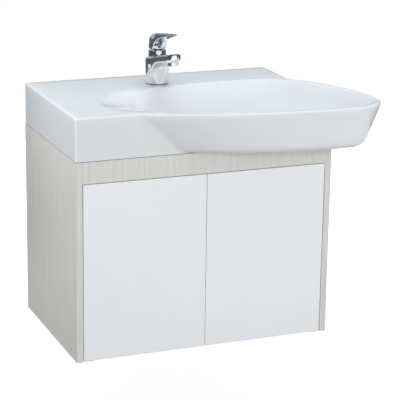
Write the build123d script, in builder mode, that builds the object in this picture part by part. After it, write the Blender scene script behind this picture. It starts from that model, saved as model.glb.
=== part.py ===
from build123d import *
import math
import os

os.makedirs("parts", exist_ok=True)

# Wall-hung vanity unit: a two-door board cabinet under a ceramic basin whose bowl swells
# out past the front and the right side, with a single-lever tap, a pop-up waste and a
# bottle trap. Millimetres. The origin is on the wall, midway between the two hanging
# holes; x runs to the right, y into the wall and z up.

# Cabinet boards
cabinet_width = 600
cabinet_depth = 383
cabinet_height = 450
board = 15
front_rail_height = 48
hanging_rail_height = 100
lower_rail_height = 80
board_edge_round = 0.8

# Hanging holes in the upper rear rail
hang_drop = 45
hang_spacing = 400
hang_hole_r = 4

# Doors, set in between the side panels and flush with their front edges
door_thickness = 16
door_side_gap = 2
door_meeting_gap = 3
door_top_gap = 2.5
door_bottom_gap = 1.5
door_edge_round = 1.2
door_back_room = 6.5
finger_bevel = 8
finger_bevel_length = 120
finger_bevel_inset = 20

# Pivot pins that the doors turn on
pivot_edge_inset = 12
pivot_face_inset = 6
pivot_pin_r = 2
pivot_bush_wall = 1.5
pivot_bush_length = 10
pivot_pin_seat = 20
pivot_plate_thickness = 1.2
pivot_plate_width = 24
pivot_plate_hold = 34
pivot_plate_nose = 5

# Cam fittings and dowels at the ends of the rails and of the bottom board
cam_r = 7.5
cam_height = 12
cam_inset = 34
bolt_r = 3
bolt_thread_r = 2.5
bolt_thread_depth = 11
dowel_r = 4
dowel_length = 28
dowel_panel_depth = 10
rail_dowel_offset = 14
deep_rail_dowel_offset = 30

# Magnet catches, strikes and buffers
catch_width = 46
catch_depth = 24
catch_height = 13
catch_from_middle = 70
strike_thickness = 1
strike_height = 12
strike_stud_r = 2
strike_stud_length = 8
buffer_r = 4.5
buffer_inner_x = 22
buffer_outer_x = 215

# Basin: a slab as wide and deep as the cabinet, with the bowl swelling out of it
seal_thickness = 1
seal_width = 12
seal_inset = 1.5
basin_height = 95
basin_wall = 12
slab_corner_round = 6
rim_round = 5
foot_round = 14

# Outer outline of the bowl at its rim and at its foot: where the front arc leaves the
# slab, how far it stands out in front and at the right, and the radii of side and corner
rim_start, rim_front, rim_reach, rim_side_r, rim_corner_r = 140, 93, 103, 340, 65
foot_start, foot_front, foot_reach, foot_side_r, foot_corner_r = 239, 80, 58, 298, 35
foot_crest_back = 25

# Cavity of the bowl, drawn round the waste hole
waste_x = 130
waste_y = -283
bowl_depth = 90
waste_flat_r = 37
waste_boss_r = 50
waste_belly_r = 74

# Tap hole and wall fixing holes in the basin
tap_x = -12
tap_y = -97
tap_hole_r = 17.5
wall_hole_spacing = 280
wall_hole_r = 6
wall_hole_drop = 48

# Waste and bottle trap
waste_hole_r = 22.5
waste_flange_r = 31
waste_flange_thickness = 2
waste_gasket_thickness = 1
waste_dish = 1.5
waste_tube_r = 20.5
tube_wall = 2.5
waste_tube_length = 74
waste_nut_height = 8
cone_gasket_height = 5
plug_r = 26
plug_thickness = 4
plug_stem_r = 4
plug_stem_length = 44
pipe_r = 16
pipe_wall = 1.2
trap_body_r = 26
trap_body_height = 66
trap_body_drop = 74
trap_cup_depth = 48
trap_wall = 2
trap_outlet_drop = 22
trap_nut_r = 22
trap_nut_length = 20
outlet_past_wall = 25
wall_plate_r = 34
wall_plate_depth = 8
wall_plate_lip = 1.5
ring_groove_width = 2
ring_groove_depth = 0.4

# Tap
tap_gasket_thickness = 1
tap_base_r = 25.5
tap_body_r = 26
tap_taper_height = 28
tap_shoulder_height = 56
tap_slope = 13
tap_neck_r = 20
tap_neck_height = 74
tap_ring_height = 6
spout_reach = 101
spout_nose_r = 17
spout_root_height = 30
outlet_height = 60
outlet_r = 12
outlet_collar_wall = 2.5
cartridge_r = 17.5
cartridge_floor = 32
tilt_height = 66
lever_bottom = 83
lever_r = 21.5
lever_wall = 2.2
lever_top = 115
lever_reach = 112
lever_rise = 132
lever_tip_r = 9
stem_width = 8
stem_top = 101
indicator_height = 94
indicator_r = 4
mark_depth = 2.5
tap_stud_r = 4
tap_stud_back = 9
tap_stud_drop = 62
inlet_r = 4.5
inlet_side = 9
inlet_forward = 4
inlet_depth = 12

# Clearances: fitted round pieces, running pins, and bodies that pass each other
fit_gap = 0.05
slip_gap = 0.1
pass_gap = 0.3

left_x = -cabinet_width / 2
right_x = cabinet_width / 2
front_y = -cabinet_depth
inner_x = right_x - board
cabinet_top = hang_drop
cabinet_bottom = cabinet_top - cabinet_height
front_rail_bottom = cabinet_top - front_rail_height
hanging_rail_bottom = cabinet_top - hanging_rail_height
bottom_board_top = cabinet_bottom + board
door_back_y = front_y + door_thickness
bottom_board_front = door_back_y + door_back_room


def block(x_span, y_span, z_span, mode=Mode.ADD):
    """Rectangular block between three pairs of limits, made in the open part."""
    with BuildSketch(Plane.XY.offset(z_span[0])) as plan:
        with Locations((sum(x_span) / 2, sum(y_span) / 2)):
            Rectangle(x_span[1] - x_span[0], y_span[1] - y_span[0])
    extrude(plan.sketch, amount=z_span[1] - z_span[0], mode=mode)


def rod(start, direction, radius, length, mode=Mode.ADD):
    """Round rod or bore from a start point along a direction, made in the open part."""
    with BuildSketch(Plane(origin=start, z_dir=direction)) as end:
        Circle(radius)
    extrude(end.sketch, amount=length, mode=mode)


def turned(centre_x, centre_y, outline, mode=Mode.ADD):
    """Piece turned about a vertical axis from an outline of (radius, height) corners."""
    middle = Plane(origin=(centre_x, centre_y, 0), x_dir=(1, 0, 0), z_dir=(0, -1, 0))
    with BuildSketch(middle) as half:
        with BuildLine():
            Polyline(*outline, close=True)
        make_face()
    revolve(half.sketch, axis=Axis((centre_x, centre_y, 0), (0, 0, 1)), mode=mode)


def hexagon(centre, across_flats, height, mode=Mode.ADD):
    """Hexagonal prism standing on a centre point."""
    with BuildSketch(Plane(origin=centre)) as plan:
        RegularPolygon(across_flats / 2, 6, major_radius=False)
    extrude(plan.sketch, amount=height, mode=mode)


def finish(part, label):
    """Name a finished piece and write it as its own STEP file."""
    part.label = label
    export_step(part, f"parts/{label}.step")


# Board joints. Each member that runs between the side panels has cam bolts and dowels in
# its ends: their (y, z) places, and the face of the member that its cams are set into.
front_rail_y = front_y + board / 2
rear_rail_y = -board / 2
front_rail_z = cabinet_top - front_rail_height / 2
hanging_rail_z = cabinet_top - hanging_rail_height / 2
lower_rail_z = bottom_board_top + lower_rail_height / 2
bottom_board_z = cabinet_bottom + board / 2
bottom_board_middle = bottom_board_front / 2
bolt_from_middle = cabinet_depth * 0.3

board_joints = {
    "front_top_rail": {
        "bolts": [(front_rail_y, front_rail_z)],
        "dowels": [(front_rail_y, front_rail_z + rail_dowel_offset)],
        "cam_face": (0, 1, 0),
    },
    "rear_top_rail": {
        "bolts": [(rear_rail_y, hanging_rail_z)],
        "dowels": [(rear_rail_y, hanging_rail_z + s * deep_rail_dowel_offset) for s in (-1, 1)],
        "cam_face": (0, -1, 0),
    },
    "rear_bottom_rail": {
        "bolts": [(rear_rail_y, lower_rail_z)],
        "dowels": [(rear_rail_y, lower_rail_z + s * deep_rail_dowel_offset) for s in (-1, 1)],
        "cam_face": (0, -1, 0),
    },
    "bottom_panel": {
        "bolts": [(bottom_board_middle + s * bolt_from_middle, bottom_board_z) for s in (-1, 1)],
        "dowels": [(bottom_board_middle, bottom_board_z)],
        "cam_face": (0, 0, -1),
    },
}
side_bolts = [place for joint in board_joints.values() for place in joint["bolts"]]
side_dowels = [place for joint in board_joints.values() for place in joint["dowels"]]


def cam_pocket_start(end, place, face):
    """Point on the member's face over a cam, for one end and one bolt place."""
    y, z = place
    return (end * (inner_x - cam_inset), y + face[1] * board / 2, z + face[2] * board / 2)


def cut_member_joints(member):
    """Cut the cam pockets, bolt holes and dowel holes into both ends of the open member."""
    joint = board_joints[member]
    face = joint["cam_face"]
    inward = tuple(-c for c in face)
    for end in (-1, 1):
        for y, z in joint["bolts"]:
            rod(cam_pocket_start(end, (y, z), face), inward, cam_r + slip_gap,
                cam_height + slip_gap, mode=Mode.SUBTRACT)
            rod((end * inner_x, y, z), (-end, 0, 0), bolt_r + slip_gap, cam_inset,
                mode=Mode.SUBTRACT)
        for y, z in joint["dowels"]:
            rod((end * inner_x, y, z), (-end, 0, 0), dowel_r + fit_gap,
                dowel_length - dowel_panel_depth + slip_gap, mode=Mode.SUBTRACT)


# Side panels: the full height and depth of the cabinet, with the grain upright
def side_panel(side, label):
    outer = side * right_x
    with BuildPart() as panel:
        block(sorted((outer, side * inner_x)), (front_y, 0), (cabinet_bottom, cabinet_top))
        fillet(panel.edges().filter_by(Axis.Z).group_by(Axis.Y)[0], board_edge_round)
        for y, z in side_bolts:
            rod((side * inner_x, y, z), (side, 0, 0), bolt_thread_r + fit_gap,
                bolt_thread_depth + slip_gap, mode=Mode.SUBTRACT)
        for y, z in side_dowels:
            rod((side * inner_x, y, z), (side, 0, 0), dowel_r + fit_gap,
                dowel_panel_depth + slip_gap, mode=Mode.SUBTRACT)
    finish(panel.part, label)


side_panel(-1, "left_side_panel")
side_panel(1, "right_side_panel")

# Front top rail: fills the front above the doors and carries the upper pivot bushes
door_edge_x = inner_x - door_side_gap
pivot_x = door_edge_x - pivot_edge_inset
pivot_y = front_y + pivot_face_inset
bush_r = pivot_pin_r + fit_gap + pivot_bush_wall
with BuildPart() as front_top_rail:
    block((-inner_x, inner_x), (front_y, front_y + board), (front_rail_bottom, cabinet_top))
    fillet(front_top_rail.edges().filter_by(Axis.X).group_by(Axis.Y)[0], board_edge_round)
    cut_member_joints("front_top_rail")
    for side in (-1, 1):
        rod((side * pivot_x, pivot_y, front_rail_bottom), (0, 0, 1), bush_r + fit_gap,
            pivot_bush_length, mode=Mode.SUBTRACT)
finish(front_top_rail.part, "front_top_rail")

# Rear top rail: carries the whole unit on two wall screws
with BuildPart() as rear_top_rail:
    block((-inner_x, inner_x), (-board, 0), (hanging_rail_bottom, cabinet_top))
    cut_member_joints("rear_top_rail")
    for side in (-1, 1):
        rod((side * hang_spacing / 2, -board, 0), (0, 1, 0), hang_hole_r, board,
            mode=Mode.SUBTRACT)
finish(rear_top_rail.part, "rear_top_rail")

# Rear bottom rail: stands on the bottom board and leaves the back open for the pipes
with BuildPart() as rear_bottom_rail:
    block((-inner_x, inner_x), (-board, 0),
          (bottom_board_top, bottom_board_top + lower_rail_height))
    cut_member_joints("rear_bottom_rail")
finish(rear_bottom_rail.part, "rear_bottom_rail")

# Lower pivot plates let into the underside of the bottom board, each with two screws
plate_start_y = pivot_y - pivot_plate_nose
plate_end_y = bottom_board_front + pivot_plate_hold
plate_screw_ys = [bottom_board_front + pivot_plate_hold * part for part in (0.3, 0.75)]
plate_top = cabinet_bottom + pivot_plate_thickness
screw_r = 1.5
screw_head_r = 2.7
screw_length = 12


def pivot_plate_outline(side, grow):
    """Plan of a lower pivot plate, grown by a clearance for its recess."""
    with Locations((side * pivot_x, (plate_start_y + plate_end_y) / 2)):
        Rectangle(pivot_plate_width + 2 * grow, plate_end_y - plate_start_y + 2 * grow)


# Bottom board
with BuildPart() as bottom_panel:
    block((-inner_x, inner_x), (bottom_board_front, 0), (cabinet_bottom, bottom_board_top))
    cut_member_joints("bottom_panel")
    for side in (-1, 1):
        with BuildSketch(Plane.XY.offset(cabinet_bottom)):
            pivot_plate_outline(side, slip_gap)
        extrude(amount=pivot_plate_thickness, mode=Mode.SUBTRACT)
        for y in plate_screw_ys:
            rod((side * pivot_x, y, cabinet_bottom), (0, 0, 1), screw_r + fit_gap,
                screw_length + slip_gap, mode=Mode.SUBTRACT)
finish(bottom_panel.part, "bottom_panel")

# Cams: zinc discs that draw the bolts in, each with a cross slot in its face
cam_slot_width = 1.2
cam_slot_depth = 2
with BuildPart() as cam_locks:
    for joint in board_joints.values():
        face = joint["cam_face"]
        inward = tuple(-c for c in face)
        for end in (-1, 1):
            for place in joint["bolts"]:
                start = cam_pocket_start(end, place, face)
                rod(start, inward, cam_r, cam_height)
                rod((end * inner_x, *place), (-end, 0, 0), bolt_r + 3 * slip_gap,
                    cam_inset + bolt_r, mode=Mode.SUBTRACT)
                with BuildSketch(Plane(origin=start, x_dir=(1, 0, 0), z_dir=inward)):
                    Rectangle(cam_r, cam_slot_width)
                    Rectangle(cam_slot_width, cam_r)
                extrude(amount=cam_slot_depth, mode=Mode.SUBTRACT)
finish(cam_locks.part, "cam_locks")

# Cam bolts: screwed into the side panels, with their heads inside the cams
with BuildPart() as cam_bolts:
    for end in (-1, 1):
        for y, z in side_bolts:
            rod((end * inner_x, y, z), (end, 0, 0), bolt_thread_r, bolt_thread_depth)
            rod((end * inner_x, y, z), (-end, 0, 0), bolt_r, cam_inset)
finish(cam_bolts.part, "cam_bolts")

# Dowels
with BuildPart() as wood_dowels:
    for end in (-1, 1):
        for y, z in side_dowels:
            rod((end * (inner_x + dowel_panel_depth), y, z), (-end, 0, 0), dowel_r, dowel_length)
finish(wood_dowels.part, "wood_dowels")

# Lower pivot plates, each with its upright pin
pivot_pin_height = pivot_bush_length - 1
with BuildPart() as lower_pivot_plates:
    for side in (-1, 1):
        with BuildSketch(Plane.XY.offset(cabinet_bottom)) as plate_plan:
            pivot_plate_outline(side, 0)
            fillet(plate_plan.vertices().group_by(Axis.Y)[0], pivot_plate_nose - 1)
        extrude(amount=pivot_plate_thickness)
        for y in plate_screw_ys:
            turned(side * pivot_x, y, [
                (0, cabinet_bottom), (screw_head_r + fit_gap, cabinet_bottom),
                (screw_r + fit_gap, plate_top), (0, plate_top)], mode=Mode.SUBTRACT)
        rod((side * pivot_x, pivot_y, plate_top), (0, 0, 1), pivot_pin_r, pivot_pin_height)
finish(lower_pivot_plates.part, "lower_pivot_plates")

# Countersunk screws under the pivot plates
with BuildPart() as pivot_plate_screws:
    for side in (-1, 1):
        for y in plate_screw_ys:
            turned(side * pivot_x, y, [
                (0, cabinet_bottom), (screw_head_r, cabinet_bottom), (screw_r, plate_top),
                (screw_r, cabinet_bottom + screw_length - 2), (0, cabinet_bottom + screw_length)])
finish(pivot_plate_screws.part, "pivot_plate_screws")

# Upper pivot bushes, pressed into the front rail
with BuildPart() as upper_pivot_bushes:
    for side in (-1, 1):
        start = (side * pivot_x, pivot_y, front_rail_bottom)
        rod(start, (0, 0, 1), bush_r, pivot_bush_length - slip_gap)
        rod(start, (0, 0, 1), pivot_pin_r + fit_gap, pivot_bush_length, mode=Mode.SUBTRACT)
finish(upper_pivot_bushes.part, "upper_pivot_bushes")

# Magnet catches on the bottom board, one behind the free edge of each door
catch_front_y = door_back_y + strike_thickness + pass_gap
strike_z = bottom_board_top + catch_height / 2
with BuildPart() as magnet_catches:
    for side in (-1, 1):
        middle = side * catch_from_middle
        block((middle - catch_width / 2, middle + catch_width / 2),
              (catch_front_y, catch_front_y + catch_depth),
              (bottom_board_top, bottom_board_top + catch_height))
        block((middle - catch_width / 4, middle + catch_width / 4),
              (catch_front_y + catch_depth * 0.6, catch_front_y + catch_depth),
              (bottom_board_top + catch_height * 0.4, bottom_board_top + catch_height),
              mode=Mode.SUBTRACT)
finish(magnet_catches.part, "magnet_catches")

# Rubber buffers that the closed doors rest against
with BuildPart() as door_buffers:
    for side in (-1, 1):
        for x in (buffer_inner_x, buffer_outer_x):
            rod((side * x, bottom_board_front, bottom_board_z), (0, -1, 0), buffer_r,
                door_back_room - slip_gap)
    fillet(door_buffers.faces().group_by(Axis.Y)[0].edges(), 1)
finish(door_buffers.part, "door_buffers")

# Doors
door_bottom = cabinet_bottom + door_bottom_gap
door_top = front_rail_bottom - door_top_gap


def door(side, name):
    near = side * door_meeting_gap / 2
    far = side * door_edge_x
    with BuildPart() as leaf:
        block(sorted((near, far)), (front_y, door_back_y), (door_bottom, door_top))
        fillet(leaf.faces().sort_by(Axis.Y)[0].edges(), door_edge_round)
        bevel_start = near + side * finger_bevel_inset
        with BuildSketch(Plane(origin=(bevel_start, door_back_y, door_bottom),
                               x_dir=(0, -1, 0), z_dir=(side, 0, 0))):
            with BuildLine():
                Polyline((0, 0), (finger_bevel, 0), (0, finger_bevel * side), close=True)
            make_face()
        extrude(amount=finger_bevel_length, mode=Mode.SUBTRACT)
        rod((side * pivot_x, pivot_y, door_top), (0, 0, -1), pivot_pin_r + fit_gap,
            pivot_pin_seat, mode=Mode.SUBTRACT)
        rod((side * pivot_x, pivot_y, door_bottom), (0, 0, 1), bush_r + fit_gap,
            pivot_bush_length + slip_gap, mode=Mode.SUBTRACT)
        for offset in (-1, 1):
            rod((side * catch_from_middle + offset * catch_width / 4, door_back_y, strike_z),
                (0, -1, 0), strike_stud_r + fit_gap, strike_stud_length + slip_gap,
                mode=Mode.SUBTRACT)
    finish(leaf.part, f"{name}_door")


def upper_pin(side, name):
    """Spring pin in the top edge of a door."""
    with BuildPart() as pin:
        rod((side * pivot_x, pivot_y, door_top - pivot_pin_seat + slip_gap), (0, 0, 1),
            pivot_pin_r, pivot_pin_seat + door_top_gap + pivot_bush_length - 1)
    finish(pin.part, f"{name}_upper_pin")


def lower_bush(side, name):
    """Bush in the bottom edge of a door, which turns on the pin of the pivot plate."""
    start = (side * pivot_x, pivot_y, door_bottom)
    with BuildPart() as bush:
        rod(start, (0, 0, 1), bush_r, pivot_bush_length)
        rod(start, (0, 0, 1), pivot_pin_r + fit_gap, pivot_bush_length, mode=Mode.SUBTRACT)
    finish(bush.part, f"{name}_lower_bush")


def strike(side, name):
    """Steel strike for the magnet, held by two studs in the back of a door."""
    middle = side * catch_from_middle
    with BuildPart() as plate:
        block((middle - catch_width / 2, middle + catch_width / 2),
              (door_back_y, door_back_y + strike_thickness),
              (strike_z - strike_height / 2, strike_z + strike_height / 2))
        for offset in (-1, 1):
            rod((middle + offset * catch_width / 4, door_back_y, strike_z), (0, -1, 0),
                strike_stud_r, strike_stud_length)
    finish(plate.part, f"{name}_strike")


for side, name in ((-1, "left"), (1, "right")):
    door(side, name)
    upper_pin(side, name)
    lower_bush(side, name)
    strike(side, name)

# Seal between the cabinet and the basin, set back so that a fine shadow line shows
basin_bottom = cabinet_top + seal_thickness
rim_z = basin_bottom + basin_height
with BuildPart() as basin_seal:
    with BuildSketch(Plane.XY.offset(cabinet_top)):
        with Locations((0, front_y / 2)):
            Rectangle(cabinet_width - 2 * seal_inset, cabinet_depth - 2 * seal_inset)
            Rectangle(cabinet_width - 2 * seal_inset - 2 * seal_width,
                      cabinet_depth - 2 * seal_inset - 2 * seal_width, mode=Mode.SUBTRACT)
    extrude(amount=seal_thickness)
finish(basin_seal.part, "basin_seal")


# Basin
def bowl_outline(z, start, crest_x, front, reach, side_r, corner_r):
    """Outer outline of the bowl at a height. A long arc runs from the slab's front, where
    it starts, to the crest, a side arc swings back to the slab's right side, and both meet
    in a rounded corner. The outline closes inside the slab."""
    run = crest_x - (left_x + start)
    front_r = (run ** 2 + front ** 2) / (2 * front)
    front_centre = (crest_x, front_y - front + front_r)
    side_centre = (right_x + reach - side_r, front_y)
    apart = math.dist(front_centre, side_centre)
    along = (front_r ** 2 - side_r ** 2 + apart ** 2) / (2 * apart)
    across = math.sqrt(front_r ** 2 - along ** 2)
    to_x = (side_centre[0] - front_centre[0]) / apart
    to_y = (side_centre[1] - front_centre[1]) / apart
    corner = min(
        ((front_centre[0] + along * to_x + s * across * to_y,
          front_centre[1] + along * to_y - s * across * to_x) for s in (-1, 1)),
        key=lambda point: point[1])

    def front_arc_y(x):
        return front_centre[1] - math.sqrt(front_r ** 2 - (x - front_centre[0]) ** 2)

    start_x = left_x + start - 3 * board
    start_y = front_arc_y(start_x)
    mid_x = (start_x + corner[0]) / 2
    rear_x = right_x - 4 * board
    rear_y = front_y + math.sqrt(side_r ** 2 - (rear_x - side_centre[0]) ** 2)
    side_mid = math.radians(15)
    with BuildSketch(Plane.XY.offset(z)) as plan:
        with BuildLine():
            ThreePointArc((start_x, start_y), (mid_x, front_arc_y(mid_x)), corner)
            ThreePointArc(corner, (side_centre[0] + side_r * math.cos(side_mid),
                                   side_centre[1] + side_r * math.sin(side_mid)),
                          (rear_x, rear_y))
            Line((rear_x, rear_y), (start_x, start_y))
        make_face()
        fillet(plan.vertices().sort_by(Axis.Y)[0], corner_r)
    return plan.sketch


# Inner outline of the rim, as distances from the slab's front left corner
rim_points = [
    (688, -5), (672, 98), (622, 190), (550, 246), (450, 254), (330, 247), (240, 226),
    (182, 170), (170, 100), (205, 16), (300, -41), (430, -68), (560, -80), (640, -73), (677, -49),
]
# How the cavity draws in on its way down: share of the rim outline, extra reach in mm,
# and share of the bowl's depth
cavity_profile = [
    (1, 0, 0), (0.965, 0, 0.18), (0.89, 0, 0.48), (0.74, 3, 0.76), (0.5, 10, 0.92),
    (0.24, 24, 0.985), (0, waste_flat_r, 1),
]
# The same for the outside of the bowl, down to the open bottom of the hollow slab
back_profile = [(1, 0), (0.93, 0.5), (0.6, 1)]
# The shallow tail at the left: distance from the left side, front and rear limits, depth
tail_stations = [
    (100, 104, 122, 1), (112, 66, 160, 5), (135, 38, 196, 10), (175, 18, 219, 17),
    (230, -12, 229, 28), (300, -36, 242, 44),
]


def cavity_section(scale, reach, z):
    """Rim outline drawn in towards the waste by a scale, plus an extra reach, at a height."""
    points = []
    for across, back in rim_points:
        dx, dy = left_x + across - waste_x, front_y + back - waste_y
        radius = math.hypot(dx, dy)
        share = (scale * radius + reach) / radius
        points.append((waste_x + share * dx, waste_y + share * dy))
    with BuildSketch(Plane.XY.offset(z)) as section:
        with BuildLine():
            Spline(*points, periodic=True)
        make_face()
    return section.sketch


def tail_section(across, near, back, depth, grow):
    """Upright section of the tail: a flat top at the rim over a shallow arc."""
    with BuildSketch(Plane(origin=(left_x + across, front_y, rim_z),
                           x_dir=(0, 1, 0), z_dir=(1, 0, 0))) as section:
        with BuildLine():
            ThreePointArc((near - grow, 0), ((near + back) / 2, -depth - grow),
                          (back + grow, 0))
            Line((back + grow, 0), (near - grow, 0))
        make_face()
    return section.sketch


with BuildPart() as overhang:
    add(bowl_outline(basin_bottom, foot_start, right_x - foot_crest_back, foot_front,
                     foot_reach, foot_side_r, foot_corner_r))
    add(bowl_outline(rim_z, rim_start, right_x, rim_front, rim_reach, rim_side_r,
                     rim_corner_r))
    loft()
    fillet(overhang.edges().group_by(Axis.Z)[0].filter_by(GeomType.CIRCLE), foot_round)
    fillet(overhang.edges().group_by(Axis.Z)[-1].filter_by(GeomType.CIRCLE), rim_round)

with BuildPart() as cavity:
    for scale, reach, fall in cavity_profile:
        add(cavity_section(scale, reach, rim_z - fall * bowl_depth))
    loft()

with BuildPart() as bowl_back:
    for scale, fall in back_profile:
        add(cavity_section(scale, basin_wall, rim_z - fall * basin_height))
    loft(ruled=True)

with BuildPart() as tail:
    for across, near, back, depth in tail_stations:
        add(tail_section(across, near, back, depth, 0))
    loft()

with BuildPart() as tail_back:
    for across, near, back, depth in tail_stations:
        add(tail_section(across - basin_wall * (depth < 2), near, back, depth, basin_wall))
    loft()

with BuildPart() as hollow:
    block((left_x + basin_wall, right_x - basin_wall), (front_y + basin_wall, -basin_wall),
          (basin_bottom, rim_z - basin_wall))
    fillet(hollow.edges().filter_by(Axis.Z), slab_corner_round)
    add(bowl_back.part, mode=Mode.SUBTRACT)
    add(tail_back.part, mode=Mode.SUBTRACT)

bowl_floor = rim_z - bowl_depth
bowl_underside = bowl_floor - basin_wall
waste_recess = waste_flange_thickness + waste_gasket_thickness
with BuildPart() as basin:
    block((left_x, right_x), (front_y, 0), (basin_bottom, rim_z))
    fillet(basin.edges().filter_by(Axis.Z), slab_corner_round)
    fillet(basin.edges().group_by(Axis.Z)[-1], rim_round)
    add(overhang.part)
    add(hollow.part, mode=Mode.SUBTRACT)
    turned(waste_x, waste_y, [
        (0, bowl_underside), (waste_boss_r, bowl_underside),
        (waste_belly_r, basin_bottom), (0, basin_bottom)])
    add(cavity.part, mode=Mode.SUBTRACT)
    add(tail.part, mode=Mode.SUBTRACT)
    rod((waste_x, waste_y, bowl_floor), (0, 0, -1), waste_flange_r + pass_gap, waste_recess,
        mode=Mode.SUBTRACT)
    rod((waste_x, waste_y, bowl_floor), (0, 0, -1), waste_hole_r, 3 * basin_wall,
        mode=Mode.SUBTRACT)
    rod((tap_x, tap_y, rim_z), (0, 0, -1), tap_hole_r, 2 * basin_wall, mode=Mode.SUBTRACT)
    for side in (-1, 1):
        rod((side * wall_hole_spacing / 2, -basin_wall, rim_z - wall_hole_drop), (0, 1, 0),
            wall_hole_r, basin_wall, mode=Mode.SUBTRACT)
finish(basin.part, "basin")

# Waste: flange and tube in one piece, with a bridge inside that guides the plug's stem
waste_seat = bowl_floor - waste_recess
tube_bottom = bowl_floor - waste_tube_length
tube_inner_r = waste_tube_r - tube_wall
bridge_z = bowl_floor - plug_stem_length + 6
bridge_height = 10
with BuildPart() as waste_body:
    turned(waste_x, waste_y, [
        (tube_inner_r, tube_bottom), (waste_tube_r, tube_bottom),
        (waste_tube_r, waste_seat + waste_gasket_thickness),
        (waste_flange_r, waste_seat + waste_gasket_thickness),
        (waste_flange_r, bowl_floor), (tube_inner_r + 5, bowl_floor),
        (tube_inner_r, bowl_floor - waste_dish)])
    with BuildSketch(Plane.XY.offset(bridge_z)):
        with Locations((waste_x, waste_y)):
            Rectangle(2 * tube_inner_r + 1, 3)
            Rectangle(3, 2 * tube_inner_r + 1)
            Circle(plug_stem_r + 3)
            Circle(plug_stem_r + fit_gap, mode=Mode.SUBTRACT)
    extrude(amount=bridge_height)
finish(waste_body.part, "waste_body")

with BuildPart() as waste_top_gasket:
    turned(waste_x, waste_y, [
        (waste_tube_r + slip_gap, waste_seat), (waste_flange_r - 1, waste_seat),
        (waste_flange_r - 1, waste_seat + waste_gasket_thickness),
        (waste_tube_r + slip_gap, waste_seat + waste_gasket_thickness)])
finish(waste_top_gasket.part, "waste_top_gasket")

cone_gasket_bottom = bowl_underside - cone_gasket_height
with BuildPart() as waste_cone_gasket:
    turned(waste_x, waste_y, [
        (waste_tube_r + slip_gap, cone_gasket_bottom), (waste_tube_r + 9, cone_gasket_bottom),
        (waste_tube_r + 7, bowl_underside), (waste_tube_r + slip_gap, bowl_underside)])
finish(waste_cone_gasket.part, "waste_cone_gasket")

waste_nut_bottom = cone_gasket_bottom - waste_nut_height
with BuildPart() as waste_nut:
    hexagon((waste_x, waste_y, waste_nut_bottom), 2 * waste_tube_r + 14, waste_nut_height)
    rod((waste_x, waste_y, waste_nut_bottom), (0, 0, 1), waste_tube_r + slip_gap,
        waste_nut_height, mode=Mode.SUBTRACT)
finish(waste_nut.part, "waste_nut")

# Pop-up plug: a shallow dome on a stem that slides in the bridge
plug_bottom = bowl_floor + pass_gap
with BuildPart() as waste_plug:
    turned(waste_x, waste_y, [
        (0, plug_bottom), (plug_r - 2, plug_bottom), (plug_r, plug_bottom + 1),
        (plug_r, plug_bottom + 2), (plug_r * 0.7, plug_bottom + plug_thickness - 0.4),
        (0, plug_bottom + plug_thickness)])
finish(waste_plug.part, "waste_plug")

with BuildPart() as plug_stem:
    rod((waste_x, waste_y, plug_bottom), (0, 0, -1), plug_stem_r, plug_stem_length)
finish(plug_stem.part, "plug_stem")

# Bottle trap
inlet_top = tube_bottom + 20
trap_body_top = tube_bottom - trap_body_drop + trap_nut_length
trap_body_bottom = trap_body_top - trap_body_height
trap_cup_bottom = trap_body_bottom - trap_cup_depth
outlet_z = trap_body_top - trap_outlet_drop
pipe_inner_r = pipe_r - pipe_wall
with BuildPart() as trap_inlet_pipe:
    turned(waste_x, waste_y, [
        (pipe_inner_r, trap_body_bottom - 4), (pipe_r, trap_body_bottom - 4),
        (pipe_r, inlet_top), (pipe_inner_r, inlet_top)])
finish(trap_inlet_pipe.part, "trap_inlet_pipe")

inlet_nut_bottom = tube_bottom - 5
with BuildPart() as trap_inlet_nut:
    turned(waste_x, waste_y, [
        (pipe_r + slip_gap, inlet_nut_bottom), (trap_nut_r, inlet_nut_bottom),
        (waste_tube_r + 3, inlet_nut_bottom + 3),
        (waste_tube_r + 3, inlet_nut_bottom + trap_nut_length),
        (waste_tube_r + slip_gap, inlet_nut_bottom + trap_nut_length),
        (waste_tube_r + slip_gap, tube_bottom - slip_gap),
        (pipe_r + slip_gap, tube_bottom - slip_gap)])
finish(trap_inlet_nut.part, "trap_inlet_nut")

trap_stub_end = waste_y + trap_body_r + 14
with BuildPart() as trap_body:
    turned(waste_x, waste_y, [
        (0, trap_body_bottom), (trap_body_r, trap_body_bottom),
        (trap_body_r, trap_body_top - 6), (pipe_r + 5, trap_body_top), (0, trap_body_top)])
    rod((waste_x, waste_y, outlet_z), (0, 1, 0), pipe_r + 3, trap_stub_end - waste_y)
    turned(waste_x, waste_y, [
        (0, trap_body_bottom), (trap_body_r - trap_wall, trap_body_bottom),
        (trap_body_r - trap_wall, trap_body_top - 8), (pipe_r + slip_gap, trap_body_top - 6),
        (pipe_r + slip_gap, trap_body_top), (0, trap_body_top)], mode=Mode.SUBTRACT)
    rod((waste_x, waste_y, outlet_z), (0, 1, 0), pipe_r + slip_gap, trap_stub_end - waste_y,
        mode=Mode.SUBTRACT)
finish(trap_body.part, "trap_body")

cup_r = trap_body_r + 3
cup_overlap = 16
with BuildPart() as trap_cup:
    turned(waste_x, waste_y, [
        (0, trap_cup_bottom), (cup_r * 0.6, trap_cup_bottom), (cup_r - 3, trap_cup_bottom + 6),
        (cup_r, trap_cup_bottom + 14), (cup_r, trap_body_bottom + cup_overlap),
        (trap_body_r + slip_gap, trap_body_bottom + cup_overlap),
        (trap_body_r + slip_gap, trap_body_bottom - slip_gap),
        (trap_body_r - trap_wall, trap_body_bottom - slip_gap),
        (trap_body_r - trap_wall, trap_cup_bottom + 14),
        (cup_r * 0.55, trap_cup_bottom + 3), (0, trap_cup_bottom + 3)])
finish(trap_cup.part, "trap_cup")

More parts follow.
